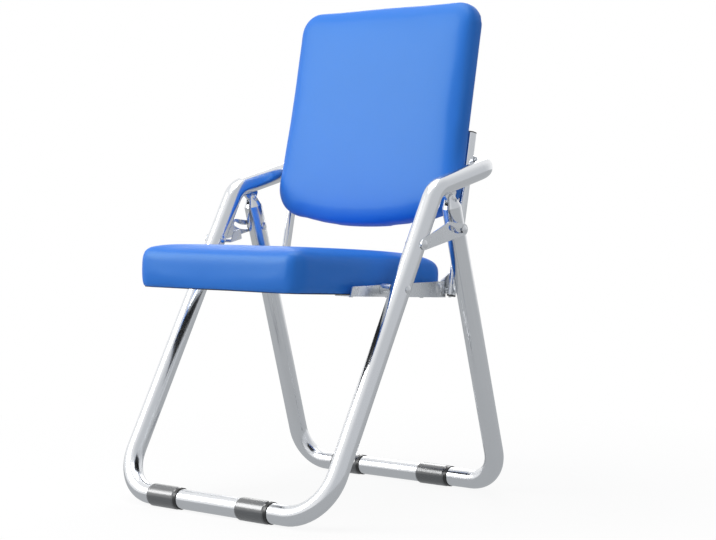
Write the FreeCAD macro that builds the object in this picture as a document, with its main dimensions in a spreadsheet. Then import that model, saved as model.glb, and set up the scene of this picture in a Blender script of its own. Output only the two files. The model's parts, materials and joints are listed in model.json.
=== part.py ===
import FreeCAD, Part
import math
import os

from FreeCAD import Placement, Rotation, Vector

# Padded folding chair: +Z up, the front faces -Y, the origin is on the floor midway between the foot bars.
doc = FreeCAD.newDocument("padded_folding_chair")
sheet = doc.addObject("Spreadsheet::Sheet", "Sizes")

# Driving sizes in millimetres and degrees.
SIZES = (
    # Round tube frame
    ("tube_od", "34"),
    ("tube_wall", "1.5"),
    ("leg_clear", "46"),
    ("leg_spacing", "=seat_width + 2 * leg_clear"),
    ("foot_reach", "240"),
    ("front_foot_bend", "78"),
    ("rear_foot_bend", "60"),
    ("arm_bend", "42"),
    ("hoop_bend", "46"),
    ("arm_corner_y", "49.5"),
    ("arm_corner_z", "543.5"),
    ("arm_rise", "14"),
    # Foot sleeves
    ("sleeve_wall", "2.2"),
    ("sleeve_flat", "0.4"),
    ("sleeve_length", "63.5"),
    ("sleeve_inset", "129.5"),
    ("sleeve_spread", "=leg_spacing - 2 * sleeve_inset"),
    ("sleeve_shift", "14.3"),
    ("sleeve_lip", "3"),
    ("sleeve_ring", "6.5"),
    # Fits
    ("press_gap", "0.02"),
    ("running_gap", "0.05"),
    ("free_gap", "0.3"),
    # Rear leg hinge under the arm
    ("hinge_back", "38"),
    ("hinge_drop", "27"),
    ("hinge_pin_d", "6"),
    ("hinge_head_r", "5"),
    ("knuckle_r", "9.5"),
    ("knuckle_flat", "8"),
    ("knuckle_neck", "15"),
    ("spigot_length", "18"),
    ("tongue_wall", "6"),
    ("tongue_r", "8.5"),
    ("tongue_half", "14"),
    ("tongue_corner", "2"),
    # Slotted stay between front and rear leg
    ("leg_fold", "44"),
    ("stay_wall", "2.2"),
    ("stay_fix", "106"),
    ("stay_drop", "55"),
    ("stay_half", "9.5"),
    ("stay_web_length", "14"),
    ("stay_lip_length", "30"),
    ("stay_lip_corner", "2"),
    ("stay_pin_d", "8"),
    ("stay_rivet_d", "6"),
    # Rivet and pin heads
    ("head_r", "7"),
    ("head_rise", "2.2"),
    ("screw_head_r", "4"),
    ("screw_rim_r", "3.2"),
    ("screw_head_rise", "2"),
    # Seat
    ("seat_pivot_z", "376.3"),
    ("seat_fall", "3"),
    ("seat_pivot_d", "8"),
    ("spacer_d", "18"),
    ("seat_front", "208.5"),
    ("seat_rear", "186.5"),
    ("seat_width", "375"),
    ("seat_front_corner", "28"),
    ("seat_rear_corner", "30"),
    ("seat_draw", "2.5"),
    ("pillow_corner", "15"),
    ("seat_widest", "30"),
    ("seat_shoulder", "53"),
    ("seat_crown", "62.8"),
    ("seat_roll", "16"),
    ("seat_rear_fall", "80"),
    ("seat_board_wall", "12"),
    ("seat_board_inset", "9"),
    # Seat rail, an angle with a flange that grows taller to the rear
    ("rail_wall", "2.3"),
    ("rail_stand", "8"),
    ("rail_outer", "=seat_width / 2 + rail_stand"),
    ("rail_flange", "34"),
    ("rail_front", "82"),
    ("rail_rear", "168"),
    ("rail_drop", "11"),
    ("rail_front_rise", "3"),
    ("rail_rear_rise", "15"),
    ("rail_corner", "5"),
    ("rail_slope", "4"),
    ("rail_screw_edge", "9"),
    ("rail_screw_d", "4"),
    ("rail_screw_length", "11"),
    # Hook plate and the rest pin it sits on
    ("hook_wall", "3"),
    ("hook_lug_r", "12"),
    ("hook_overlap", "34"),
    ("hook_corner", "3"),
    ("hook_step", "2"),
    ("hook_rivet_d", "6"),
    ("hook_rivet_back", "11"),
    ("hook_rivet_rise", "1.5"),
    ("hook_head_r", "10.5"),
    ("hook_head_rise", "2"),
    ("hook_flare", "2"),
    ("fin_rise", "30"),
    ("fin_top", "4"),
    ("fin_foot", "22"),
    ("rest_pin_reach", "183.5"),
    ("rest_pin_d", "10"),
    ("rest_flange", "2.5"),
    # Uprights
    ("back_lean", "12"),
    ("upright_gap", "0.5"),
    ("upright_spacing", "=2 * (rail_outer + upright_gap) + upright_width"),
    ("upright_width", "12"),
    ("upright_depth", "18"),
    ("upright_wall", "1.5"),
    ("upright_foot", "9"),
    ("upright_top", "281"),
    ("upright_cap", "2"),
    ("cap_plug", "=upright_foot - rest_pin_d / 2 - free_gap"),
    ("saddle_gap", "5"),
    ("saddle_height", "22"),
    ("hoop_bolt_d", "6"),
    # Backrest
    ("back_bottom", "120"),
    ("back_height", "396"),
    ("back_overhang", "18"),
    ("back_taper", "11"),
    ("back_bottom_width", "=upright_spacing + back_overhang"),
    ("back_top_width", "=back_bottom_width - back_taper"),
    ("back_top_corner", "44"),
    ("back_bottom_corner", "62"),
    ("back_top_bow", "1.5"),
    ("back_bottom_bow", "16"),
    ("back_draw", "0.5"),
    ("back_widest", "16"),
    ("back_shoulder", "31"),
    ("back_crown", "40.5"),
    ("back_roll", "16"),
    ("back_board_wall", "9"),
    ("back_board_inset", "9"),
    ("tab_wall", "3"),
    ("tab_width", "24"),
    ("tab_height", "32"),
    ("tab_low", "150"),
    ("tab_high", "250"),
    ("back_screw_d", "4"),
    ("back_screw_length", "7"),
)

for row, (alias, value) in enumerate(SIZES, start=1):
    sheet.set("A%d" % row, alias)
    sheet.setAlias("B%d" % row, alias)
for row, (alias, value) in enumerate(SIZES, start=1):
    sheet.set("B%d" % row, value)
doc.recompute()


def size(alias):
    return float(sheet.get(alias))


X_AXIS = Vector(1, 0, 0)
Y_AXIS = Vector(0, 1, 0)
Z_AXIS = Vector(0, 0, 1)
SIDES = (("left", -1), ("right", 1))
nodes = []


# Places that the pieces share, worked out from the sizes
tube_r = size("tube_od") / 2
leg_x = size("leg_spacing") / 2
sleeve_r = tube_r + size("press_gap") + size("sleeve_wall")
foot_rise = sleeve_r - size("sleeve_flat")
front_foot = Vector(0, -size("foot_reach"), foot_rise)
rear_foot = Vector(0, size("foot_reach"), foot_rise)
arm_corner = Vector(0, size("arm_corner_y"), size("arm_corner_z"))
arm_way = Rotation(X_AXIS, size("arm_rise")).multVec(Y_AXIS)
arm_down = Rotation(X_AXIS, size("arm_rise")).multVec(-Z_AXIS)
front_leg_way = (arm_corner - front_foot).normalize()
hinge = arm_corner + arm_way * size("hinge_back") + arm_down * size("hinge_drop")
rear_leg_way = (hinge - rear_foot).normalize()

pivot_share = (size("seat_pivot_z") - front_foot.z) / front_leg_way.z
seat_pivot = front_foot + front_leg_way * pivot_share
seat_frame = Placement(seat_pivot, Rotation(X_AXIS, -size("seat_fall")))
rest_pin = seat_frame.multVec(Vector(0, size("rest_pin_reach"), 0))
back_frame = Placement(rest_pin, Rotation(X_AXIS, -size("back_lean")))

upright_x = size("upright_spacing") / 2
upright_inner = upright_x - size("upright_width") / 2
upright_outer = upright_x + size("upright_width") / 2
upright_half = size("upright_depth") / 2
hoop_offset = upright_half + size("saddle_gap") + tube_r
back_way = back_frame.Rotation.multVec(Y_AXIS)
hoop_share = (hoop_offset - (arm_corner - rest_pin).dot(back_way)) / arm_way.dot(back_way)
hoop = arm_corner + arm_way * hoop_share
hoop_rise = back_frame.inverse().multVec(hoop).z


def across(point, x):
    return Vector(x, point.y, point.z)


# Outlines and solids that several pieces use
def bent_path(corners, bends):
    """Straight runs joined by tangent arcs; one bend radius for each inner corner."""
    edges = []
    start = corners[0]
    for before, corner, after, radius in zip(corners, corners[1:], corners[2:], bends):
        way_in = (corner - before).normalize()
        way_out = (after - corner).normalize()
        half_turn = way_in.getAngle(way_out) / 2
        setback = radius * math.tan(half_turn)
        arc_start = corner - way_in * setback
        arc_end = corner + way_out * setback
        inward = (way_out - way_in).normalize()
        middle = corner + inward * (radius / math.cos(half_turn) - radius)
        edges.append(Part.LineSegment(start, arc_start).toShape())
        edges.append(Part.Arc(arc_start, middle, arc_end).toShape())
        start = arc_end
    edges.append(Part.LineSegment(start, corners[-1]).toShape())
    return Part.Wire(edges)


def hull_outline(circles):
    """Lines and arcs round a convex row of circles (u, v, radius), counter-clockwise."""
    tangents = []
    for (u0, v0, r0), (u1, v1, r1) in zip(circles, circles[1:] + circles[:1]):
        run = math.hypot(u1 - u0, v1 - v0)
        angle = math.atan2(v1 - v0, u1 - u0) - math.acos((r0 - r1) / run)
        out = Vector(math.cos(angle), math.sin(angle), 0)
        tangents.append((angle, Vector(u0, v0, 0) + out * r0, Vector(u1, v1, 0) + out * r1))
    shapes = []
    for i, (angle, begin, end) in enumerate(tangents):
        shapes.append(Part.LineSegment(begin, end))
        u, v, radius = circles[(i + 1) % len(circles)]
        turn = (tangents[(i + 1) % len(tangents)][0] - angle) % (2 * math.pi)
        middle_angle = angle + turn / 2
        middle = Vector(u + radius * math.cos(middle_angle), v + radius * math.sin(middle_angle), 0)
        shapes.append(Part.Arc(end, middle, tangents[(i + 1) % len(tangents)][1]))
    return shapes


def corner_arcs(corners):
    """The start, middle and end of the arc at each corner (u, v, radius) of a polygon."""
    arcs = []
    for i, (u, v, radius) in enumerate(corners):
        corner = Vector(u, v, 0)
        back = (Vector(*corners[i - 1][:2], 0) - corner).normalize()
        ahead = (Vector(*corners[(i + 1) % len(corners)][:2], 0) - corner).normalize()
        half = back.getAngle(ahead) / 2
        setback = radius / math.tan(half)
        middle = corner + (back + ahead).normalize() * (radius / math.sin(half) - radius)
        arcs.append((corner + back * setback, middle, corner + ahead * setback))
    return arcs


def rounded_outline(corners):
    """Lines and arcs through the corners (u, v, radius) of a counter-clockwise polygon."""
    arcs = corner_arcs(corners)
    shapes = []
    for i, (begin, middle, end) in enumerate(arcs):
        if corners[i][2]:
            shapes.append(Part.Arc(begin, middle, end))
        shapes.append(Part.LineSegment(end, arcs[(i + 1) % len(arcs)][0]))
    return shapes


def circle(u, v, radius):
    return [Part.Circle(Vector(u, v, 0), Z_AXIS, radius)]


def arc_slot(u, v, radius, start, end, half):
    """A slot of half width along an arc about (u, v), from one angle to the next, in degrees."""
    def at(distance, degrees):
        angle = math.radians(degrees)
        return Vector(u + distance * math.cos(angle), v + distance * math.sin(angle), 0)
    middle = (start + end) / 2
    tip = math.degrees(half / radius)
    return [
        Part.Arc(at(radius + half, start), at(radius + half, middle), at(radius + half, end)),
        Part.Arc(at(radius + half, end), at(radius, end + tip), at(radius - half, end)),
        Part.Arc(at(radius - half, end), at(radius - half, middle), at(radius - half, start)),
        Part.Arc(at(radius - half, start), at(radius, start - tip), at(radius + half, start)),
    ]


def new_body(label):
    body = doc.addObject("PartDesign::Body", label)
    body.Label = label
    return body


def add_sketch(body, role, shapes, lift=0):
    plane = [item for item in body.Origin.OriginFeatures if item.Role == role][0]
    sketch = body.newObject("Sketcher::SketchObject", body.Name + "_sketch")
    sketch.AttachmentSupport = [(plane, "")]
    sketch.MapMode = "FlatFace"
    sketch.AttachmentOffset = Placement(Vector(0, 0, lift), Rotation())
    sketch.addGeometry(shapes, False)
    return sketch


def add_pad(body, sketch, length, midplane=False):
    pad = body.newObject("PartDesign::Pad", body.Name + "_pad")
    pad.Profile = sketch
    pad.Midplane = midplane
    pad.setExpression("Length", length)
    return pad


def add_pocket(body, sketch, length, midplane=False):
    pocket = body.newObject("PartDesign::Pocket", body.Name + "_pocket")
    pocket.Profile = sketch
    pocket.Midplane = midplane
    pocket.setExpression("Length", length)
    return pocket


def keep(piece, placement=None):
    if placement is not None:
        piece.Placement = placement
    nodes.append(piece)
    return piece


def side_plate(label, shapes, wall, x, frame):
    """A plate square to X, its outline given as (y, z) in a frame, from x outward to +X."""
    body = new_body(label)
    add_pad(body, add_sketch(body, "YZ_Plane", shapes), wall)
    return keep(body, frame.multiply(Placement(Vector(x, 0, 0), Rotation())))


def turned(label, profile, placement):
    """A piece turned about its own X axis from (x, radius) points; a middle point makes an arc."""
    body = new_body(label)
    shapes = []
    last = Vector(*profile[0], 0)
    for point in profile[1:]:
        if len(point) == 4:
            end = Vector(*point[2:], 0)
            shapes.append(Part.Arc(last, Vector(*point[:2], 0), end))
        else:
            end = Vector(*point, 0)
            shapes.append(Part.LineSegment(last, end))
        last = end
    shapes.append(Part.LineSegment(last, Vector(*profile[0], 0)))
    sketch = add_sketch(body, "XY_Plane", shapes)
    spin = body.newObject("PartDesign::Revolution", label + "_turning")
    spin.Profile = sketch
    spin.ReferenceAxis = (sketch, ["H_Axis"])
    spin.Angle = 360
    return keep(body, placement)


def dome(x, radius, rise):
    """The arc of a domed head from its rim at x to its crown on the axis."""
    sphere = (radius ** 2 + rise ** 2) / (2 * abs(rise))
    half = math.asin(radius / sphere) / 2
    way = math.copysign(1, rise)
    centre = x + rise - way * sphere
    return (centre + way * sphere * math.cos(half), sphere * math.sin(half), x + rise, 0)


def rivet_profile(grip, shank_r, head_r):
    """A shank over the grip from x = 0, with a domed head at each end."""
    rise = size("head_rise")
    sphere = (head_r ** 2 + rise ** 2) / (2 * rise)
    half = math.asin(head_r / sphere) / 2
    tail = (sphere - rise - sphere * math.cos(half), sphere * math.sin(half), 0, head_r)
    return [(-rise, 0), tail, (0, shank_r), (grip, shank_r), (grip, head_r), dome(grip, head_r, rise)]


def screw_profile(shank_r, reach):
    """A pan-headed screw whose head sits below x = 0, with its point at the reach."""
    top = -size("screw_head_rise")
    return [(top, 0), (top, size("screw_rim_r")), (0, size("screw_head_r")), (0, shank_r),
            (reach - shank_r, shank_r), (reach, 0)]


def joined(label, pieces):
    """A node of separate solids that are one kind of piece."""
    group = doc.addObject("Part::Compound", label)
    group.Label = label
    group.Links = pieces
    for piece in pieces:
        nodes.remove(piece)
    return keep(group)


def outward(point, x, side):
    """A place at x on one side of the chair, with +X turned to face outward."""
    turn = Rotation(Z_AXIS, 0 if side > 0 else 180)
    return Placement(across(point, side * x), turn)


# Chromed tubes, each bent as one half and mirrored
def tube(label, corners, bends, drills):
    path = doc.addObject("Part::Feature", label + "_path")
    path.Shape = bent_path(corners, bends)
    hulls = []
    for name, radius in (("outside", "Sizes.tube_od / 2"), ("bore", "Sizes.tube_od / 2 - Sizes.tube_wall")):
        ring = doc.addObject("Part::Circle", label + "_" + name + "_ring")
        ring.setExpression("Radius", radius)
        ring.Placement = Placement(corners[0], Rotation(Z_AXIS, X_AXIS))
        run = doc.addObject("Part::Sweep", label + "_" + name + "_run")
        run.Sections = [ring]
        run.Spine = (path, ["Edge%d" % (i + 1) for i in range(len(path.Shape.Edges))])
        run.Solid = True
        other = doc.addObject("Part::Mirroring", label + "_" + name + "_mirror")
        other.Source = run
        other.Normal = X_AXIS
        both = doc.addObject("Part::Fuse", label + "_" + name)
        both.Base = run
        both.Tool = other
        both.Refine = True
        hulls.append(both)
    wall = doc.addObject("Part::Cut", label + "_wall")
    wall.Base, wall.Tool = hulls
    piece = wall
    for i, hole in enumerate(drills, start=1):
        drilled = doc.addObject("Part::Cut", "%s_drilled_%d" % (label, i))
        drilled.Base = piece
        drilled.Tool = hole
        piece = drilled
    piece.Label = label
    keep(piece)
    return hulls[0]


def drill(label, diameter, placement, length):
    """A hole centred on a placement, along its X axis."""
    hole = doc.addObject("Part::Cylinder", label)
    hole.setExpression("Radius", diameter + " / 2 + Sizes.press_gap")
    hole.Height = length
    turn = Placement(Vector(-length / 2, 0, 0), Rotation(Z_AXIS, X_AXIS))
    hole.Placement = placement.multiply(turn)
    return hole


stay_fix = arm_corner - front_leg_way * size("stay_fix")
stay_pin = hinge - rear_leg_way * size("stay_drop")
through = size("leg_spacing") * 2
hoop_places = [back_frame.multiply(Placement(Vector(side * upright_x, hoop_offset, hoop_rise),
                                             Rotation(Z_AXIS, 90))) for _, side in SIDES]
front_drills = [
    drill("seat_pivot_drill", "Sizes.seat_pivot_d", Placement(seat_pivot, Rotation()), through),
    drill("stay_rivet_drill", "Sizes.stay_rivet_d", Placement(stay_fix, Rotation()), through),
]
for place, (name, side) in zip(hoop_places, SIDES):
    front_drills.append(drill("hoop_drill_" + name, "Sizes.hoop_bolt_d", place, 2 * size("tube_od")))

front_hull = tube("front_frame",
                  [front_foot, across(front_foot, leg_x), across(arm_corner, leg_x),
                   across(hoop, leg_x), hoop],
                  [size("front_foot_bend"), size("arm_bend"), size("hoop_bend")], front_drills)
leg_end = hinge - rear_leg_way * size("knuckle_neck")
tube("rear_frame",
     [rear_foot, across(rear_foot, leg_x), across(leg_end, leg_x)],
     [size("rear_foot_bend")],
     [drill("stay_pin_drill", "Sizes.stay_pin_d", Placement(stay_pin, Rotation()), through)])


# Grey foot sleeves with a thinner lip at each end and a worn flat that stands on the floor
def sleeve(label, foot, x):
    half = size("sleeve_length") / 2
    bore = tube_r + size("press_gap")
    lip_r = (bore + sleeve_r) / 2
    lip = size("sleeve_lip")
    profile = [(-half, bore), (half, bore), (half, lip_r), (half - lip, sleeve_r), (lip - half, sleeve_r),
               (-half, lip_r)]
    body = turned(label, profile, Placement(across(foot, x), Rotation()))
    floor = rounded_outline([(-half, -sleeve_r, 0), (half, -sleeve_r, 0),
                             (half, sleeve_r, 0), (-half, sleeve_r, 0)])
    add_pocket(body, add_sketch(body, "XY_Plane", floor, -foot_rise), "Sizes.sleeve_flat * 2")


# A black ring against each sleeve's right-hand end, just clear of the floor
def sleeve_ring(label, foot, x):
    half = size("sleeve_ring") / 2
    bore = tube_r + size("press_gap")
    ring_r = foot_rise - size("free_gap")
    edge = (ring_r - bore) / 2
    profile = [(-half, bore), (half, bore), (half, ring_r - edge), (half - edge, ring_r), (-half, ring_r)]
    return turned(label, profile, Placement(across(foot, x), Rotation()))


ring_step = size("sleeve_length") / 2 + size("press_gap") + size("sleeve_ring") / 2
for foot_name, foot in (("front", front_foot), ("rear", rear_foot)):
    rings = []
    for name, side in SIDES:
        sleeve_x = side * size("sleeve_spread") / 2 - size("sleeve_shift")
        sleeve(foot_name + "_foot_sleeve_" + name, foot, sleeve_x)
        rings.append(sleeve_ring(foot_name + "_foot_ring_" + name, foot, sleeve_x + ring_step))
    joined(foot_name + "_foot_rings", rings)


# Rear leg hinge: a tongue welded under the arm, a rivet, and the leg's ball end forked round the tongue
weld = tube_r + size("press_gap")
tongue_root = hinge - arm_down * (size("hinge_drop") - weld - size("tongue_corner"))
tongue_outline = [(hinge.y, hinge.z, size("tongue_r"))]
for way in (size("tongue_half"), -size("tongue_half")):
    corner = tongue_root + arm_way * way
    tongue_outline.append((corner.y, corner.z, size("tongue_corner")))
pin_r = size("hinge_pin_d") / 2
grip = 2 * (size("knuckle_flat") + size("free_gap"))
for name, side in SIDES:
    hole = circle(hinge.y, hinge.z, pin_r + size("press_gap"))
    side_plate("hinge_bracket_" + name, hull_outline(tongue_outline) + hole, "Sizes.tongue_wall",
               side * leg_x - size("tongue_wall") / 2, Placement())
    turned("hinge_pin_" + name, rivet_profile(grip, pin_r, size("hinge_head_r")),
           outward(hinge, leg_x - grip / 2, side))

knuckle_r = size("knuckle_r")
neck = size("knuckle_neck")
spigot_r = tube_r - size("tube_wall") - size("press_gap")
spigot_end = -neck - size("spigot_length")
touch = math.pi - math.atan2(tube_r, neck) - math.acos(knuckle_r / math.hypot(neck, tube_r))
ball = (knuckle_r * math.cos(touch / 2), knuckle_r * math.sin(touch / 2), knuckle_r, 0)
knuckle_profile = [(spigot_end, 0), (spigot_end, spigot_r), (-neck, spigot_r), (-neck, tube_r),
                   (knuckle_r * math.cos(touch), knuckle_r * math.sin(touch)), ball]
fork_low = -size("tongue_r") - 2 * size("free_gap")
fork_high = 2 * knuckle_r
fork = [(fork_low, -tube_r, 0), (fork_high, -tube_r, 0), (fork_high, tube_r, 0), (fork_low, tube_r, 0)]
leg_turn = Rotation(rear_leg_way, X_AXIS.cross(rear_leg_way), X_AXIS, "XZY")
for name, side in SIDES:
    knuckle_place = Placement(across(hinge, side * leg_x), leg_turn)
    knuckle = turned("rear_leg_knuckle_" + name, knuckle_profile, knuckle_place)
    add_pocket(knuckle, add_sketch(knuckle, "XY_Plane", rounded_outline(fork)),
               "Sizes.tongue_wall + 2 * Sizes.free_gap", True)
    bore = circle(0, 0, pin_r + size("running_gap"))
    add_pocket(knuckle, add_sketch(knuckle, "XY_Plane", bore), "2 * Sizes.tube_od", True)
    for way in (1, -1):
        seat = circle(0, 0, size("hinge_head_r") + 2 * size("free_gap"))
        face = add_pocket(knuckle, add_sketch(knuckle, "XY_Plane", seat, way * size("knuckle_flat")),
                          "Sizes.tube_od")
        face.Reversed = way > 0


# Slotted stay: a plate outside both legs, whose slot is an arc about the rear leg's hinge
def leg_angle(point):
    return math.degrees(math.atan2(point.z - hinge.z, point.y - hinge.y))


slot_end = leg_angle(stay_pin)
slot_start = slot_end - size("leg_fold")
folded_pin = hinge + Rotation(X_AXIS, -size("leg_fold")).multVec(stay_pin - hinge)
slot_half = size("stay_pin_d") / 2 + size("free_gap")
stay_outline = [(point.y, point.z, size("stay_half")) for point in (stay_fix, stay_pin, folded_pin)]

# Its web and lip bear on the front leg's rear side, seen along the stay from its rivet
beside_leg = tube_r + size("free_gap")
stay_slope = math.degrees(math.atan2(stay_pin.z - stay_fix.z, stay_pin.y - stay_fix.y))
stay_frame = Placement(stay_fix, Rotation(X_AXIS, stay_slope))
leg_across = stay_frame.Rotation.inverted().multVec(front_leg_way)


def behind_leg(v):
    """How far along the stay the front leg's rear side is, at a height v."""
    return (beside_leg + v * leg_across.y) / leg_across.z


def along_stay(points):
    """An outline of (u, v, radius) corners along the stay, turned into the chair's (y, z)."""
    turned_points = []
    for u, v, radius in points:
        point = stay_frame.multVec(Vector(0, u, v))
        turned_points.append((point.y, point.z, radius))
    return rounded_outline(turned_points)


stay_half = size("stay_half")
web_high = size("stay_wall") - stay_half
web_front = behind_leg(web_high)
web_rear = web_front + size("stay_web_length")
web = [(web_front, -stay_half, 0), (web_rear, -stay_half, 0),
       (web_rear, web_high, 0), (web_front, web_high, 0)]
lip_rear = web_front + size("stay_lip_length")
lip = [(web_front, -stay_half, 0), (lip_rear, -stay_half, size("stay_lip_corner")),
       (lip_rear, stay_half, size("stay_lip_corner")), (behind_leg(stay_half), stay_half, 0)]
for name, side in SIDES:
    stay = new_body("stay_" + name)
    outline = hull_outline(stay_outline)
    outline += circle(stay_fix.y, stay_fix.z, size("stay_rivet_d") / 2 + size("press_gap"))
    outline += arc_slot(hinge.y, hinge.z, size("stay_drop"), slot_start, slot_end, slot_half)
    walls = [-beside_leg - size("stay_wall"), beside_leg]
    plate_x, lip_x = walls[::-side]
    add_pad(stay, add_sketch(stay, "YZ_Plane", outline, plate_x), "Sizes.stay_wall")
    add_pad(stay, add_sketch(stay, "YZ_Plane", along_stay(web)),
            "Sizes.tube_od + 2 * Sizes.free_gap + 2 * Sizes.stay_wall", True)
    add_pad(stay, add_sketch(stay, "YZ_Plane", along_stay(lip), lip_x), "Sizes.stay_wall")
    keep(stay, Placement(Vector(side * leg_x, 0, 0), Rotation()))
    stay_grip = 2 * beside_leg + size("stay_wall")
    turned("stay_rivet_" + name, rivet_profile(stay_grip, size("stay_rivet_d") / 2, size("head_r")),
           outward(stay_fix, leg_x - beside_leg, side))
    turned("stay_pin_" + name,
           rivet_profile(stay_grip + size("free_gap"), size("stay_pin_d") / 2, size("head_r")),
           outward(stay_pin, leg_x - beside_leg, side))


# Seat pivot: a pin through the front leg and a spacer, into the rail
rail_inner = size("rail_outer") - size("rail_wall")
for name, side in SIDES:
    pin_length = leg_x + tube_r - rail_inner
    shank = size("seat_pivot_d") / 2
    head = dome(pin_length, size("head_r"), size("head_rise"))
    turned("seat_pivot_pin_" + name,
           [(0, 0), (0, shank), (pin_length, shank), (pin_length, size("head_r")), head],
           outward(seat_pivot, rail_inner, side))
    spacer_start = size("rail_outer") + size("free_gap")
    spacer_length = leg_x - tube_r - spacer_start
    bore = shank + size("press_gap")
    spacer_r = size("spacer_d") / 2
    turned("seat_pivot_spacer_" + name,
           [(0, bore), (spacer_length, bore), (spacer_length, spacer_r), (0, spacer_r)],
           outward(seat_pivot, spacer_start, side))


# Cushions: built up of outlines whose sides are drawn in between the corners
def pillow_wire(corners, bows, place):
    """A closed outline of corner arcs (u, v, radius) and bowed sides, put in space by place(u, v)."""
    arcs = corner_arcs(corners)
    edges = []
    for i, (begin, middle, end) in enumerate(arcs):
        following = arcs[(i + 1) % len(arcs)][0]
        run = following - end
        outside = Vector(run.y, -run.x, 0).normalize()
        belly = (end + following) / 2 + outside * bows[i]
        edges.append(Part.Arc(*[place(p.x, p.y) for p in (begin, middle, end)]).toShape())
        edges.append(Part.Arc(*[place(p.x, p.y) for p in (end, belly, following)]).toShape())
    return Part.Wire(edges)


def inset_corners(corners, inset, least):
    """The corners moved in by an inset, with their radii, no smaller than the least."""
    moved = []
    for u, v, radius in corners:
        moved.append((u - math.copysign(inset, u), v - math.copysign(inset, v), max(radius - inset, least)))
    return moved


def eased(levels, steps):
    """Levels on a smooth curve through the given ones, with so many steps between each two."""
    ends = [levels[0]] + levels + [levels[-1]]
    curve = []
    for a, b, c, d in zip(ends, ends[1:], ends[2:], ends[3:]):
        for t in [i / steps for i in range(steps)]:
            shares = ((2 * t ** 2 - t ** 3 - t) / 2, (2 - 5 * t ** 2 + 3 * t ** 3) / 2,
                      (t + 4 * t ** 2 - 3 * t ** 3) / 2, (t ** 3 - t ** 2) / 2)
            curve.append(tuple(sum(s * p[k] for s, p in zip(shares, (a, b, c, d))) for k in (0, 1)))
    return curve + [levels[-1]]


def pillow(levels, corners, bows, far_fall, place):
    """A closed cushion through (height, inset) levels, its outlines rounder and straighter inward.

    Above its widest line, its far side, towards +v, is moved in by far_fall(inset) more than the rest."""
    room = min(min(abs(u), abs(v)) for u, v, _ in corners)
    widest = min(levels, key=lambda level: level[1])[0]
    wires = []
    for height, inset in eased(levels, 2):
        share = 1 - inset / room
        fall = far_fall(inset) if height > widest else 0
        level = [(u, v - fall if v > 0 else v, r) for u, v, r in inset_corners(corners, inset, 0)]
        tightest = min(min(abs(u) for u, _, _ in level), (level[2][1] - level[1][1]) / 2)
        least = min(size("pillow_corner") + 0.4 * inset, 0.9 * tightest)
        level = [(u, v, max(r, least)) for u, v, r in level]
        wires.append(pillow_wire(level, [bow * share for bow in bows], lambda u, v: place(u, v, height)))
    return Part.makeLoft(wires, True, True)


def crown_levels(widest, shoulder, crown, roll):
    """Heights and insets from a cushion's widest line over its rolled shoulder to its crown."""
    side = shoulder - widest
    top = crown - shoulder
    return [(widest, 0), (widest + 0.6 * side, 0.07 * roll), (shoulder, 0.38 * roll),
            (shoulder + 0.50 * top, roll), (shoulder + 0.77 * top, 2.25 * roll),
            (shoulder + 0.91 * top, 3.9 * roll), (shoulder + 0.98 * top, 5.8 * roll), (crown, 7.8 * roll)]


def soft(label, shape, frame):
    piece = doc.addObject("Part::Feature", label)
    piece.Label = label
    piece.Shape = shape
    return keep(piece, frame)


# Seat board and cushion, in the seat's own frame: y to the rear, z up from the pivot
seat_half = size("seat_width") / 2
seat_middle = (size("seat_rear") - size("seat_front")) / 2
seat_half_depth = (size("seat_rear") + size("seat_front")) / 2
seat_corners = [(-seat_half, -seat_half_depth, size("seat_front_corner")),
                (seat_half, -seat_half_depth, size("seat_front_corner")),
                (seat_half, seat_half_depth, size("seat_rear_corner")),
                (-seat_half, seat_half_depth, size("seat_rear_corner"))]
board_low = -size("rail_drop")
seat_board_corners = inset_corners(seat_corners, size("seat_board_inset"), size("pillow_corner"))
rail_screw_x = size("rail_outer") - size("rail_flange") + size("rail_screw_edge")
rail_screw_places = []
for share in (0.12, 0.5, 0.88):
    rail_screw_places.append(-size("rail_front") + share * (size("rail_front") + size("rail_rear")))

seat_board = new_body("seat_board")
board_shapes = rounded_outline([(u, v + seat_middle, r) for u, v, r in seat_board_corners])
for y in rail_screw_places:
    for _, side in SIDES:
        board_shapes += circle(side * rail_screw_x, y, size("rail_screw_d") / 2 + size("press_gap"))
add_pad(seat_board, add_sketch(seat_board, "XY_Plane", board_shapes, board_low), "Sizes.seat_board_wall")
keep(seat_board, seat_frame)

seat_levels = [(board_low + size("free_gap"), 1.6 * size("seat_draw")),
               (size("rail_front_rise"), 0.5 * size("seat_draw")),
               (size("rail_rear_rise"), 0.2 * size("seat_draw"))]
seat_levels += crown_levels(size("seat_widest"), size("seat_shoulder"), size("seat_crown"), size("seat_roll"))
seat_bows = [-size("seat_draw")] * 4
cushion = pillow(seat_levels, seat_corners, seat_bows,
                 lambda inset: size("seat_rear_fall") * (1 - math.exp(-inset / size("seat_roll"))),
                 lambda u, v, h: Vector(u, v + seat_middle, h))
recess_corners = inset_corners(seat_corners, size("seat_board_inset") - size("free_gap"),
                               size("pillow_corner"))
recess_outline = rounded_outline([(u, v + seat_middle, r) for u, v, r in recess_corners])
recess_face = Part.Face(Part.Wire([item.toShape() for item in recess_outline]))
recess_face.translate(Vector(0, 0, board_low))
soft("seat_cushion", cushion.cut(recess_face.extrude(Z_AXIS * size("seat_board_wall"))), seat_frame)


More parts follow.
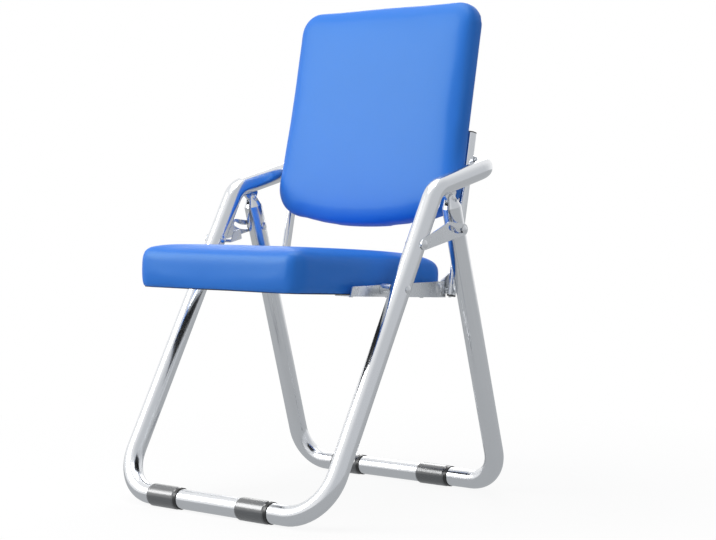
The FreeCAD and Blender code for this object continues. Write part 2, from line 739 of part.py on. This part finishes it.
# Seat rails: angles with a tall outer flange, rounded at the front
pivot_hole = size("seat_pivot_d") / 2 + size("running_gap")
rail_low = board_low - size("rail_wall")
hook_rivet_y = size("rail_rear") - size("hook_rivet_back")
hook_rivet_r = size("hook_rivet_d") / 2
hook_hole = circle(hook_rivet_y, size("hook_rivet_rise"), hook_rivet_r + size("press_gap"))
for name, side in SIDES:
    rail = new_body("seat_rail_" + name)
    flange = rounded_outline([(-size("rail_front"), rail_low, 0), (size("rail_rear"), rail_low, 0),
                              (size("rail_rear"), size("rail_rear_rise"), 0),
                              (size("rail_slope") - size("rail_front"), size("rail_front_rise"),
                               size("rail_corner"))])
    flange += circle(0, 0, pivot_hole) + hook_hole
    flange_x = rail_inner if side > 0 else -size("rail_outer")
    add_pad(rail, add_sketch(rail, "YZ_Plane", flange, flange_x), "Sizes.rail_wall")
    inner_edge = size("rail_outer") - size("rail_flange")
    edges = sorted((side * rail_inner, side * inner_edge))
    foot = rounded_outline([(edges[0], -size("rail_front"), 0), (edges[1], -size("rail_front"), 0),
                            (edges[1], size("rail_rear"), 0), (edges[0], size("rail_rear"), 0)])
    for y in rail_screw_places:
        foot += circle(side * rail_screw_x, y, size("rail_screw_d") / 2 + size("press_gap"))
    add_pad(rail, add_sketch(rail, "XY_Plane", foot, rail_low), "Sizes.rail_wall")
    keep(rail, seat_frame)

screws = []
screw_r = size("rail_screw_d") / 2
for name, side in SIDES:
    for i, y in enumerate(rail_screw_places):
        reach = size("rail_screw_length")
        place = Placement(Vector(side * rail_screw_x, y, rail_low), Rotation(X_AXIS, Z_AXIS))
        screws.append(turned("rail_screw_%s_%d" % (name, i), screw_profile(screw_r, reach),
                             seat_frame.multiply(place)))
joined("rail_screws", screws)


# Hook plates on the rails' inner faces, open below, over the rest pins
reach = size("rest_pin_reach")
hook_slot = size("rest_pin_d") / 2 + size("free_gap")
hook_inner = rail_inner - size("hook_wall")
hook_front = size("rail_rear") - size("hook_overlap")
slot_top = Vector(reach, hook_slot, 0)
slot_front = Vector(reach - hook_slot, 0, 0)
slot_rear = Vector(reach + hook_slot, 0, 0)
mouth = rail_low
mouth_front = Vector(slot_front.x - size("hook_flare"), 2 * mouth, 0)
mouth_rear = Vector(slot_rear.x + size("hook_flare"), 2 * mouth, 0)
hook_low = board_low + size("press_gap")
hook_heel = size("rail_rear") + size("press_gap")
hook_rear = reach + size("hook_lug_r")
hook_corner = size("hook_corner")
hook_top = size("rail_rear_rise") - size("hook_step")
fin_front = hook_rear - 2 * size("fin_top")
for name, side in SIDES:
    hook = new_body("hook_plate_" + name)
    shapes = rounded_outline([
        (hook_front, hook_low, 0), (hook_heel, hook_low, 0), (hook_heel, mouth, 0),
        (hook_rear, mouth, hook_corner),
        (hook_rear, size("fin_rise"), size("fin_top")), (fin_front, size("fin_rise"), size("fin_top") / 2),
        (reach - size("fin_foot"), hook_top, hook_corner), (hook_front, hook_top, hook_corner)])
    hook_x = hook_inner if side > 0 else -rail_inner
    add_pad(hook, add_sketch(hook, "YZ_Plane", shapes + hook_hole, hook_x), "Sizes.hook_wall")
    slot = [Part.LineSegment(slot_front, mouth_front), Part.LineSegment(mouth_front, mouth_rear),
            Part.LineSegment(mouth_rear, slot_rear), Part.Arc(slot_rear, slot_top, slot_front)]
    add_pocket(hook, add_sketch(hook, "YZ_Plane", slot), "4 * Sizes.rail_outer", True)
    keep(hook, seat_frame)

rivets = []
for name, side in SIDES:
    grip = size("hook_wall") + size("rail_wall")
    turn = Rotation(Z_AXIS, 0 if side > 0 else 180)
    place = Placement(Vector(side * hook_inner, hook_rivet_y, size("hook_rivet_rise")), turn)
    rivets.append(turned("hook_rivet_" + name,
                         [(0, 0), (0, hook_rivet_r), (grip, hook_rivet_r), (grip, size("hook_head_r")),
                          dome(grip, size("hook_head_r"), size("hook_head_rise"))],
                         seat_frame.multiply(place)))
joined("hook_rivets", rivets)


# Uprights, in the back's own frame: y to the rear, z up along the lean from the rest pin
def stadium(half_width, half_depth):
    run = half_depth - half_width
    return hull_outline([(0, -run, half_width), (0, run, half_width)])


half_width = size("upright_width") / 2
wall = size("upright_wall")
plug = [half_width - wall - size("press_gap"), upright_half - wall - size("press_gap")]
for name, side in SIDES:
    upright = new_body("upright_" + name)
    section = stadium(half_width, upright_half) + stadium(half_width - wall, upright_half - wall)
    add_pad(upright, add_sketch(upright, "XY_Plane", section, -size("upright_foot")),
            "Sizes.upright_foot + Sizes.upright_top")
    pin_hole = circle(0, 0, size("rest_pin_d") / 2 + size("press_gap"))
    add_pocket(upright, add_sketch(upright, "YZ_Plane", pin_hole), "2 * Sizes.upright_width", True)
    bolt_hole = circle(0, hoop_rise, size("hoop_bolt_d") / 2 + size("press_gap"))
    add_pocket(upright, add_sketch(upright, "XZ_Plane", bolt_hole), "Sizes.upright_depth")
    upright_place = back_frame.multiply(Placement(Vector(side * upright_x, 0, 0), Rotation()))
    keep(upright, upright_place)
    foot_z = -size("upright_foot")
    for end, base, plug_base in (("top", size("upright_top"), size("upright_top") - size("cap_plug")),
                                 ("foot", foot_z - size("upright_cap"), foot_z)):
        cap = new_body("upright_%s_cap_%s" % (end, name))
        outline = stadium(half_width, upright_half)
        add_pad(cap, add_sketch(cap, "XY_Plane", outline, base), "Sizes.upright_cap")
        add_pad(cap, add_sketch(cap, "XY_Plane", stadium(*plug), plug_base), "Sizes.cap_plug")
        keep(cap, upright_place)

    # The rest pin runs in from the upright through the hook, with a flange that keeps the hook on it
    pin_r = size("rest_pin_d") / 2
    flange_end = hook_inner - size("free_gap")
    flange_start = flange_end - size("rest_flange")
    length = upright_outer - flange_start
    turned("seat_rest_pin_" + name,
           [(0, 0), (0, size("head_r")), (size("rest_flange"), size("head_r")), (size("rest_flange"), pin_r),
            (length, pin_r), (length, size("head_r")), dome(length, size("head_r"), size("head_rise"))],
           outward(rest_pin, flange_start, side))

bolts = []
for place, (name, side) in zip(hoop_places, SIDES):
    saddle_block = doc.addObject("Part::Box", "hoop_saddle_block_" + name)
    saddle_block.setExpression("Length", "Sizes.upright_width")
    saddle_block.setExpression("Width", "Sizes.saddle_gap + Sizes.tube_od / 4")
    saddle_block.setExpression("Height", "Sizes.saddle_height")
    corner = Vector(side * upright_x - half_width, upright_half, hoop_rise - size("saddle_height") / 2)
    saddle_block.Placement = back_frame.multiply(Placement(corner, Rotation()))
    saddle_seat = doc.addObject("Part::Cut", "hoop_saddle_seat_" + name)
    saddle_seat.Base = saddle_block
    saddle_seat.Tool = front_hull
    saddle = doc.addObject("Part::Cut", "hoop_saddle_" + name)
    saddle.Label = "hoop_saddle_" + name
    saddle.Base = saddle_seat
    saddle.Tool = drill("saddle_drill_" + name, "Sizes.hoop_bolt_d", place, 2 * size("tube_od"))
    keep(saddle)
    bolt_r = size("hoop_bolt_d") / 2
    bolt_start = -hoop_offset + bolt_r
    bolts.append(turned("hoop_bolt_" + name,
                        [(bolt_start, 0), (bolt_start, bolt_r), (tube_r, bolt_r), (tube_r, size("head_r")),
                         dome(tube_r, size("head_r"), size("head_rise"))], place))
joined("hoop_bolts", bolts)


# Backrest board and cushion, against the uprights' front faces
back_middle = size("back_bottom") + size("back_height") / 2
back_half_height = size("back_height") / 2
back_corners = [(-size("back_bottom_width") / 2, -back_half_height, size("back_bottom_corner")),
                (size("back_bottom_width") / 2, -back_half_height, size("back_bottom_corner")),
                (size("back_top_width") / 2, back_half_height, size("back_top_corner")),
                (-size("back_top_width") / 2, back_half_height, size("back_top_corner"))]
back_bows = [size("back_bottom_bow"), -size("back_draw"), size("back_top_bow"), -size("back_draw")]
back_face = -upright_half
tab_heights = (size("tab_low"), size("tab_high"))
tab_x = upright_inner - size("tab_width") / 2

back_board = new_body("backrest_board")
board_corners = inset_corners(back_corners, size("back_board_inset"), size("pillow_corner"))
board_shapes = rounded_outline([(u, v + back_middle, r) for u, v, r in board_corners])
for height in tab_heights:
    for _, side in SIDES:
        board_shapes += circle(side * tab_x, height, size("back_screw_d") / 2 + size("press_gap"))
add_pad(back_board, add_sketch(back_board, "XZ_Plane", board_shapes, -back_face), "Sizes.back_board_wall")
keep(back_board, back_frame)

back_levels = [(size("free_gap"), 0.5 * size("back_draw")),
               (size("back_widest") / 3, 0.1 * size("back_draw"))]
back_levels += crown_levels(size("back_widest"), size("back_shoulder"), size("back_crown"), size("back_roll"))
cushion = pillow(back_levels, back_corners, back_bows, lambda inset: 0,
                 lambda u, v, depth: Vector(u, back_face - depth, v + back_middle))
recess_corners = inset_corners(back_corners, size("back_board_inset") - size("free_gap"),
                               size("pillow_corner"))
recess_edges = []
for item in rounded_outline([(u, v + back_middle, r) for u, v, r in recess_corners]):
    edge = item.toShape()
    edge.Placement = Placement(Vector(0, back_face, 0), Rotation(X_AXIS, 90))
    recess_edges.append(edge)
recess = Part.Face(Part.Wire(recess_edges)).extrude(-Y_AXIS * size("back_board_wall"))
soft("backrest_cushion", cushion.cut(recess), back_frame)

back_screws = []
for name, side in SIDES:
    tabs = []
    for i, height in enumerate(tab_heights):
        tab = new_body("backrest_tab_%s_%d" % (name, i))
        half = size("tab_width") / 2
        tall = size("tab_height") / 2
        x = side * tab_x
        shapes = rounded_outline([(x - half, height - tall, 0), (x + half, height - tall, 0),
                                  (x + half, height + tall, 0), (x - half, height + tall, 0)])
        shapes += circle(x, height, size("back_screw_d") / 2 + size("press_gap"))
        add_pad(tab, add_sketch(tab, "XZ_Plane", shapes, -back_face - size("tab_wall")), "Sizes.tab_wall")
        tabs.append(keep(tab, back_frame))
        screw_r = size("back_screw_d") / 2
        reach = size("tab_wall") + size("back_screw_length")
        place = Placement(Vector(x, back_face + size("tab_wall"), height), Rotation(Z_AXIS, -90))
        back_screws.append(turned("backrest_screw_%s_%d" % (name, i), screw_profile(screw_r, reach),
                                  back_frame.multiply(place)))
    joined("backrest_tabs_" + name, tabs)
joined("backrest_screws", back_screws)


# Checks, then one file for each piece
doc.recompute()
for item in doc.Objects:
    if "Invalid" in item.State or "Error" in item.State:
        raise RuntimeError("failed: %s %s" % (item.Label, item.State))
for item in nodes:
    if item.Shape.isNull() or not item.Shape.isValid() or not item.Shape.Solids:
        raise RuntimeError("bad shape: " + item.Label)

os.makedirs("parts", exist_ok=True)
for item in nodes:
    item.Shape.exportStep("parts/%s.step" % item.Label)
print("%d pieces" % len(nodes))
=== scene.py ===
"""Padded folding chair: a chromed tube frame with a blue leatherette seat and backrest."""
import json
import math

import bmesh
import bpy
import numpy as np
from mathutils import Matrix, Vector
from mathutils.bvhtree import BVHTree


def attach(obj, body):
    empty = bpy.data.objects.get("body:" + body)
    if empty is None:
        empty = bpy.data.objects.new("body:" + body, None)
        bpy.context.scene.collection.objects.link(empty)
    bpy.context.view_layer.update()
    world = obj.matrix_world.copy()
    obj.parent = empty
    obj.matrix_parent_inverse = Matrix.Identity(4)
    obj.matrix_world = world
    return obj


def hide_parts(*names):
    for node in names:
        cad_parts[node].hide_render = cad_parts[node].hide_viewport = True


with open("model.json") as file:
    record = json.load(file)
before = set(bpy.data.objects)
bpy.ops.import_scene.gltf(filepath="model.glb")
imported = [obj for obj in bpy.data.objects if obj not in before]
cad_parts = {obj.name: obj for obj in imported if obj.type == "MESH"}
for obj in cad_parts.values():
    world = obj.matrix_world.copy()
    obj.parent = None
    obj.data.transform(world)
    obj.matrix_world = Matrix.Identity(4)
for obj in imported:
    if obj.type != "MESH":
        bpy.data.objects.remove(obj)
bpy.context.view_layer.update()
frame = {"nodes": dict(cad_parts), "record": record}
nodes = frame["nodes"]
scene = bpy.context.scene
scene.view_settings.view_transform = "Standard"

ROOT = "front_frame_and_back"
SEAT = "seat"
MM = 0.001
SHARP_EDGE = math.radians(35)


# Colours and shader nodes
def linear(hex_colour):
    """An sRGB hex colour as linear red, green and blue with full alpha."""
    channels = [int(hex_colour[i:i + 2], 16) / 255 for i in (1, 3, 5)]
    return [c / 12.92 if c <= 0.04045 else ((c + 0.055) / 1.055) ** 2.4 for c in channels] + [1.0]


def add(tree, kind, links=None, **settings):
    """A shader node: its properties and input values are set, and links join its inputs to sockets."""
    node = tree.nodes.new(kind)
    inputs = settings.pop("inputs", {})
    for name, value in settings.items():
        setattr(node, name, value)
    for name, value in inputs.items():
        node.inputs[name].default_value = value
    for name, socket in (links or {}).items():
        tree.links.new(socket, node.inputs[name])
    return node


def new_material(name):
    """An empty node material with its output and a principled shader."""
    material = bpy.data.materials.new(name)
    material.use_nodes = True
    tree = material.node_tree
    tree.nodes.clear()
    shader = add(tree, "ShaderNodeBsdfPrincipled")
    add(tree, "ShaderNodeOutputMaterial", {"Surface": shader.outputs[0]})
    place = add(tree, "ShaderNodeTexCoord").outputs["Object"]
    return material, tree, shader, place


def per_metre(millimetres):
    """The texture scale that repeats once in so many millimetres."""
    return 1 / (millimetres * MM)


# Decorative chrome over polished steel tube: a bright mirror, blurred by a haze that drifts along the tube
def chrome_plate():
    material, tree, shader, place = new_material("chrome_plated_tube")
    haze = add(tree, "ShaderNodeTexNoise", {"Vector": place},
               inputs={"Scale": per_metre(45), "Detail": 3.0})
    rough = add(tree, "ShaderNodeMapRange", {"Value": haze.outputs["Fac"]},
                inputs={"From Min": 0.3, "From Max": 0.7, "To Min": 0.13, "To Max": 0.21})
    ripple = add(tree, "ShaderNodeTexNoise", {"Vector": place},
                 inputs={"Scale": per_metre(9), "Detail": 2.0})
    bump = add(tree, "ShaderNodeBump", {"Height": ripple.outputs["Fac"]},
               inputs={"Strength": 0.05, "Distance": 0.2 * MM})
    shader.inputs["Base Color"].default_value = linear("#e4e6e9")
    shader.inputs["Metallic"].default_value = 1.0
    tree.links.new(rough.outputs["Result"], shader.inputs["Roughness"])
    tree.links.new(bump.outputs["Normal"], shader.inputs["Normal"])
    return material


# Bright zinc plate on stamped and turned steel: a pale lustre, softer than chrome, with faint drawn lines
def zinc_plate():
    material, tree, shader, place = new_material("zinc_plated_steel")
    cloud = add(tree, "ShaderNodeTexNoise", {"Vector": place},
                inputs={"Scale": per_metre(16), "Detail": 3.0})
    tone = add(tree, "ShaderNodeMix", {"Factor": cloud.outputs["Fac"]}, data_type="RGBA",
               inputs={6: linear("#dcdfe2"), 7: linear("#e2e4e7")})
    rough = add(tree, "ShaderNodeMapRange", {"Value": cloud.outputs["Fac"]},
                inputs={"From Min": 0.3, "From Max": 0.7, "To Min": 0.24, "To Max": 0.32})
    drawn = add(tree, "ShaderNodeMapping", {"Vector": place}, inputs={"Scale": (1.0, 0.06, 1.0)})
    lines = add(tree, "ShaderNodeTexNoise", {"Vector": drawn.outputs["Vector"]},
                inputs={"Scale": per_metre(1.2), "Detail": 2.0})
    bump = add(tree, "ShaderNodeBump", {"Height": lines.outputs["Fac"]},
               inputs={"Strength": 0.03, "Distance": 0.1 * MM})
    shader.inputs["Metallic"].default_value = 1.0
    tree.links.new(tone.outputs[2], shader.inputs["Base Color"])
    tree.links.new(rough.outputs["Result"], shader.inputs["Roughness"])
    tree.links.new(bump.outputs["Normal"], shader.inputs["Normal"])
    return material


# Leatherette, vinyl on a knitted back: an embossed pebble grain with a soft even gloss
def leatherette():
    material, tree, shader, place = new_material("blue_leatherette")
    drift = add(tree, "ShaderNodeTexNoise", {"Vector": place},
                inputs={"Scale": per_metre(120), "Detail": 2.0})
    tone = add(tree, "ShaderNodeMix", {"Factor": drift.outputs["Fac"]}, data_type="RGBA",
               inputs={6: linear("#1c74de"), 7: linear("#2279e5")})
    pebble = add(tree, "ShaderNodeTexVoronoi", {"Vector": place}, feature="DISTANCE_TO_EDGE",
                 inputs={"Scale": per_metre(1.6), "Randomness": 0.9})
    crease = add(tree, "ShaderNodeMapRange", {"Value": pebble.outputs["Distance"]},
                 inputs={"From Max": 0.25, "To Min": 0.0, "To Max": 1.0})
    bump = add(tree, "ShaderNodeBump", {"Height": crease.outputs["Result"]},
               inputs={"Strength": 0.16, "Distance": 0.12 * MM})
    rough = add(tree, "ShaderNodeMapRange", {"Value": crease.outputs["Result"]},
                inputs={"To Min": 0.52, "To Max": 0.42})
    shader.inputs["IOR"].default_value = 1.5
    shader.inputs["Specular IOR Level"].default_value = 0.6
    shader.inputs["Specular Tint"].default_value = linear("#dcffd0")
    tree.links.new(tone.outputs[2], shader.inputs["Base Color"])
    tree.links.new(rough.outputs["Result"], shader.inputs["Roughness"])
    tree.links.new(bump.outputs["Normal"], shader.inputs["Normal"])
    return material


# Moulded polyethylene with the mould's fine spark-eroded grit and slow patches of handling.
# Its gloss is a clear skin that shines more than the bare plastic does, for the bright upper side.
def sleeve_plastic(name, dark, light, gloss):
    material, tree, shader, place = new_material(name)
    grit = add(tree, "ShaderNodeTexNoise", {"Vector": place},
               inputs={"Scale": per_metre(0.9), "Detail": 3.0})
    scuff = add(tree, "ShaderNodeTexNoise", {"Vector": place},
                inputs={"Scale": per_metre(14), "Detail": 5.0})
    tone = add(tree, "ShaderNodeMix", {"Factor": scuff.outputs["Fac"]}, data_type="RGBA",
               inputs={6: linear(dark), 7: linear(light)})
    rough = add(tree, "ShaderNodeMapRange", {"Value": scuff.outputs["Fac"]},
                inputs={"From Min": 0.3, "From Max": 0.7, "To Min": 0.3, "To Max": 0.42})
    bump = add(tree, "ShaderNodeBump", {"Height": grit.outputs["Fac"]},
               inputs={"Strength": 0.12, "Distance": 0.1 * MM})
    shader.inputs["IOR"].default_value = 1.51
    shader.inputs["Coat Weight"].default_value = gloss
    shader.inputs["Coat Roughness"].default_value = 0.22
    shader.inputs["Coat IOR"].default_value = 2.0
    tree.links.new(tone.outputs[2], shader.inputs["Base Color"])
    tree.links.new(rough.outputs["Result"], shader.inputs["Roughness"])
    tree.links.new(bump.outputs["Normal"], shader.inputs["Normal"])
    return material


# Non-woven dust cover stapled under the seat: matt black felt with a pressed square dimple
def dust_cover():
    material, tree, shader, place = new_material("black_dust_cover")
    fibre = add(tree, "ShaderNodeTexNoise", {"Vector": place},
                inputs={"Scale": per_metre(2.5), "Detail": 6.0})
    dimple = add(tree, "ShaderNodeTexVoronoi", {"Vector": place},
                 inputs={"Scale": per_metre(2.2), "Randomness": 0.15})
    tone = add(tree, "ShaderNodeMix", {"Factor": fibre.outputs["Fac"]}, data_type="RGBA",
               inputs={6: linear("#17181a"), 7: linear("#2b2c2f")})
    bump = add(tree, "ShaderNodeBump", {"Height": dimple.outputs["Distance"]},
               inputs={"Strength": 0.5, "Distance": 0.3 * MM})
    shader.inputs["Roughness"].default_value = 0.9
    tree.links.new(tone.outputs[2], shader.inputs["Base Color"])
    tree.links.new(bump.outputs["Normal"], shader.inputs["Normal"])
    return material


CHROME = chrome_plate()
ZINC = zinc_plate()
LEATHERETTE = leatherette()
SLEEVE = sleeve_plastic("grey_sleeve_plastic", "#34373b", "#3d4044", gloss=1.0)
CAP = sleeve_plastic("black_cap_plastic", "#0e0f11", "#17181a", gloss=0.1)
DUST_COVER = dust_cover()

FINISHES = {
    "chromed_steel": CHROME,
    "zinc_plated_steel": ZINC,
    "grey_plastic": SLEEVE,
    "black_plastic": CAP,
    "blue_leatherette": LEATHERETTE,
    "wrapped_board": LEATHERETTE,
    "covered_board": DUST_COVER,
}
slots = {item["node"]: item["material_slot"] for item in frame["record"]["subparts"]}
for name, piece in nodes.items():
    piece.data.materials.clear()
    piece.data.materials.append(FINISHES[slots[name]])
    piece.data.shade_smooth()
    piece.data.set_sharp_from_angle(angle=SHARP_EDGE)


# Cushions: foam that swells its leatherette cover, which is tucked round the board's edge and held there.
# Pressure moves no point of it further than its reach, which is smaller where it lies on the steel.
CLOTH_GRID = 5 * MM
EASE_SHARE = 0.5
EASE_ROUNDS = 8
EVEN_ROUNDS = 14
SWELL_FRAMES = 20
FOAM_SLACK = 2 * MM
COVER_REACH = 3 * MM
FLAT_REACH = 2 * MM
BOARD_NEAR = 3 * MM
TUCK = 6 * MM


def evaluated_mesh(piece):
    """A copy of a piece's mesh with its modifiers applied."""
    graph = bpy.context.evaluated_depsgraph_get()
    return bpy.data.meshes.new_from_object(piece.evaluated_get(graph))


def vectors_of(mesh, attribute):
    """A vector of each of the mesh's points, its place or its normal, as rows of an array."""
    values = np.empty(len(mesh.vertices) * 3)
    mesh.vertices.foreach_get(attribute, values)
    return values.reshape(-1, 3)


def even_out(shift, mesh, rounds):
    """Each point's shift averaged with its neighbours', so that the cover swells without puckers."""
    ends = np.empty(len(mesh.edges) * 2, dtype=int)
    mesh.edges.foreach_get("vertices", ends)
    one, other = ends.reshape(-1, 2).T
    count = np.bincount(ends, minlength=len(shift))[:, None] + 1
    for _ in range(rounds):
        total = shift.copy()
        np.add.at(total, one, shift[other])
        np.add.at(total, other, shift[one])
        shift = total / count
    return shift


def level_turn(board):
    """The turn that lays the board's largest face level, so that the remeshed rim comes out straight."""
    largest = max(nodes[board].data.polygons, key=lambda face: face.area)
    return largest.normal.rotation_difference(Vector((0, 0, 1))).to_matrix().to_4x4()


def closed_skin(name, foam, board):
    """The foam and its board as one closed piece of even cloth."""
    joint = bmesh.new()
    joint.from_mesh(nodes[foam].data)
    joint.from_mesh(nodes[board].data)
    turn = level_turn(board)
    joint.transform(turn)
    mesh = bpy.data.meshes.new(name)
    joint.to_mesh(mesh)
    joint.free()
    piece = bpy.data.objects.new(name, mesh)
    scene.collection.objects.link(piece)
    remesh = piece.modifiers.new("even_cloth", "REMESH")
    remesh.mode = "VOXEL"
    remesh.voxel_size = CLOTH_GRID
    ease = piece.modifiers.new("ease", "SMOOTH")
    ease.factor = EASE_SHARE
    ease.iterations = EASE_ROUNDS
    piece.data = evaluated_mesh(piece)
    piece.modifiers.clear()
    piece.data.transform(turn.inverted())
    return piece


def swollen(piece, held_group):
    """The places of the cover's points after pressure has blown it up, with the held points kept still."""
    cloth = piece.modifiers.new("cover", "CLOTH")
    cloth.settings.quality = 6
    cloth.settings.mass = 0.4
    cloth.settings.tension_stiffness = 20
    cloth.settings.compression_stiffness = 20
    cloth.settings.bending_stiffness = 2
    cloth.settings.use_pressure = True
    cloth.settings.uniform_pressure_force = 4
    cloth.settings.effector_weights.gravity = 0
    cloth.settings.vertex_group_mass = held_group
    cloth.collision_settings.use_collision = False
    for step in range(1, SWELL_FRAMES + 1):
        scene.frame_set(step)
    points = vectors_of(evaluated_mesh(piece), "co")
    piece.modifiers.clear()
    scene.frame_set(1)
    return points


def cushion(name, foam, board, body, hem):
    """A cover swollen over the foam and its board, held down where the board's own face shows.

    Round that face its hem stands out by the given height."""
    piece = closed_skin(name, foam, board)
    start = vectors_of(piece.data, "co")
    normals = vectors_of(piece.data, "normal")
    graph = bpy.context.evaluated_depsgraph_get()
    panel, padding = (BVHTree.FromObject(nodes[node], graph) for node in (board, foam))
    held = [i for i, point in enumerate(start)
            if panel.find_nearest(point)[3] < BOARD_NEAR and padding.find_nearest(point)[3] > TUCK]
    outer_face = normals[held].mean(axis=0)
    outer_face /= np.linalg.norm(outer_face)
    flatness = np.clip(normals @ outer_face, 0, 1)[:, None]
    reach = COVER_REACH + (FLAT_REACH - COVER_REACH) * flatness
    piece.data.vertices.foreach_set("co", (start - normals * FOAM_SLACK).ravel())
    held_group = piece.vertex_groups.new(name="held")
    held_group.add(held, 1.0, "REPLACE")
    shift = swollen(piece, held_group.name) - start
    shift[held] = 0
    shift = even_out(shift, piece.data, EVEN_ROUNDS)
    shift *= reach / np.sqrt(reach ** 2 + np.sum(shift ** 2, axis=1, keepdims=True))
    shift += flatness * outer_face * hem
    shift[held] = -normals[held] * FOAM_SLACK
    piece.data.vertices.foreach_set("co", (start + shift).ravel())
    piece.data.update()
    piece.data.shade_smooth()
    finer = piece.modifiers.new("finer", "SUBSURF")
    finer.levels = finer.render_levels = 1
    piece.data.materials.clear()
    piece.data.materials.append(LEATHERETTE)
    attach(piece, body)
    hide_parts(foam)


cushion("seat_cover", "seat_cushion", "seat_board", SEAT, hem=2.5 * MM)
cushion("backrest_cover", "backrest_cushion", "backrest_board", ROOT, hem=0.5 * MM)


# White studio: a floor that keeps the chair's shadow, a white surround and soft lamps
def studio_floor():
    """White to the camera and pale grey to the chair, so that tubes show a darker underside."""
    mesh = bpy.data.meshes.new("studio_floor")
    reach = 30.0
    corners = [(-reach, -reach, 0), (reach, -reach, 0), (reach, reach, 0), (-reach, reach, 0)]
    mesh.from_pydata(corners, [], [(0, 1, 2, 3)])
    floor = bpy.data.objects.new("studio_floor", mesh)
    scene.collection.objects.link(floor)
    material = bpy.data.materials.new("white_studio_paper")
    material.use_nodes = True
    tree = material.node_tree
    tree.nodes.clear()
    place = add(tree, "ShaderNodeTexCoord").outputs["Object"]
    far = add(tree, "ShaderNodeVectorMath", {0: place}, operation="LENGTH")
    fade = add(tree, "ShaderNodeMapRange", {"Value": far.outputs["Value"]},
               inputs={"From Min": 0.5, "From Max": 1.3, "To Min": 0.9, "To Max": 1.0})
    path = add(tree, "ShaderNodeLightPath")
    shown = add(tree, "ShaderNodeMath",
                {0: path.outputs["Is Camera Ray"], 1: path.outputs["Is Glossy Ray"]},
                operation="MAXIMUM")
    share = add(tree, "ShaderNodeMath", {0: fade.outputs["Result"], 1: shown.outputs[0]},
                operation="MULTIPLY")
    tone = add(tree, "ShaderNodeMix", {"Factor": path.outputs["Is Camera Ray"]}, data_type="RGBA",
               inputs={6: linear("#babcbe"), 7: linear("#ffffff")})
    paper = add(tree, "ShaderNodeBsdfDiffuse", {"Color": tone.outputs[2]})
    glow = add(tree, "ShaderNodeEmission", {"Color": tone.outputs[2]}, inputs={"Strength": 1.0})
    mix = add(tree, "ShaderNodeMixShader", {0: share.outputs[0], 1: paper.outputs[0], 2: glow.outputs[0]})
    add(tree, "ShaderNodeOutputMaterial", {"Surface": mix.outputs[0]})
    mesh.materials.append(material)


def studio_lamp(name, place, look_at, width, power, mirrored=True):
    """A square soft lamp that only lights the chair, and shows in its gloss where it is mirrored."""
    lamp = bpy.data.lights.new(name, "AREA")
    lamp.size = width
    lamp.energy = power
    holder = bpy.data.objects.new(name, lamp)
    scene.collection.objects.link(holder)
    holder.location = place
    holder.rotation_euler = (Vector(look_at) - Vector(place)).to_track_quat("-Z", "Y").to_euler()
    holder.visible_camera = False
    holder.visible_glossy = mirrored


def studio_surround():
    """White to the camera; to the chair it turns grey towards +X, which shades the tubes on that side."""
    world = bpy.data.worlds.new("white_surround")
    scene.world = world
    world.use_nodes = True
    tree = world.node_tree
    tree.nodes.clear()
    way = add(tree, "ShaderNodeTexCoord").outputs["Generated"]
    facing = add(tree, "ShaderNodeVectorMath", {0: way}, operation="DOT_PRODUCT",
                 inputs={1: (1.0, 0.0, 0.0)})
    turn = add(tree, "ShaderNodeMapRange", {"Value": facing.outputs["Value"]},
               interpolation_type="SMOOTHSTEP", inputs={"From Min": -0.1, "From Max": 0.7})
    tone = add(tree, "ShaderNodeMix", {"Factor": turn.outputs["Result"]}, data_type="RGBA",
               inputs={6: linear("#ffffff"), 7: linear("#d2d4d7")})
    path = add(tree, "ShaderNodeLightPath")
    mirrored = add(tree, "ShaderNodeMath",
                   {0: path.outputs["Is Glossy Ray"], 1: path.outputs["Is Transmission Ray"]},
                   operation="MAXIMUM")
    light = add(tree, "ShaderNodeBackground", {"Color": tone.outputs[2]}, inputs={"Strength": 0.33})
    mirror = add(tree, "ShaderNodeBackground", {"Color": tone.outputs[2]}, inputs={"Strength": 1.0})
    white = add(tree, "ShaderNodeBackground", inputs={"Color": linear("#ffffff"), "Strength": 1.0})
    chair = add(tree, "ShaderNodeMixShader",
                {0: mirrored.outputs[0], 1: light.outputs[0], 2: mirror.outputs[0]})
    mix = add(tree, "ShaderNodeMixShader",
              {0: path.outputs["Is Camera Ray"], 1: chair.outputs[0], 2: white.outputs[0]})
    add(tree, "ShaderNodeOutputWorld", {"Surface": mix.outputs[0]})


studio_floor()
studio_surround()
studio_lamp("key_lamp", (-1.6, -1.8, 1.65), (0, 0, 0.6), width=1.5, power=39)
studio_lamp("top_lamp", (-0.2, -0.2, 2.6), (0, 0, 0.4), width=1.6, power=20)
studio_lamp("fill_lamp", (2.3, -1.0, 1.5), (0, 0, 0.6), width=2.4, power=12, mirrored=False)
studio_lamp("rear_lamp", (-1.6, 2.2, 1.8), (0, 0, 0.6), width=1.4, power=18)


# The camera of the photograph: a long lens in front of the chair and to its +X side, just below the arms
def photo_camera():
    camera = bpy.data.cameras.new("photo_camera")
    camera.sensor_width = 36
    camera.lens = 87.3
    holder = bpy.data.objects.new("photo_camera", camera)
    scene.collection.objects.link(holder)
    holder.location = (2.0230, -2.2848, 0.5388)
    target = Vector((0.0695, 0.0433, 0.4012))
    holder.rotation_euler = (target - holder.location).to_track_quat("-Z", "Y").to_euler()
    scene.camera = holder


photo_camera()
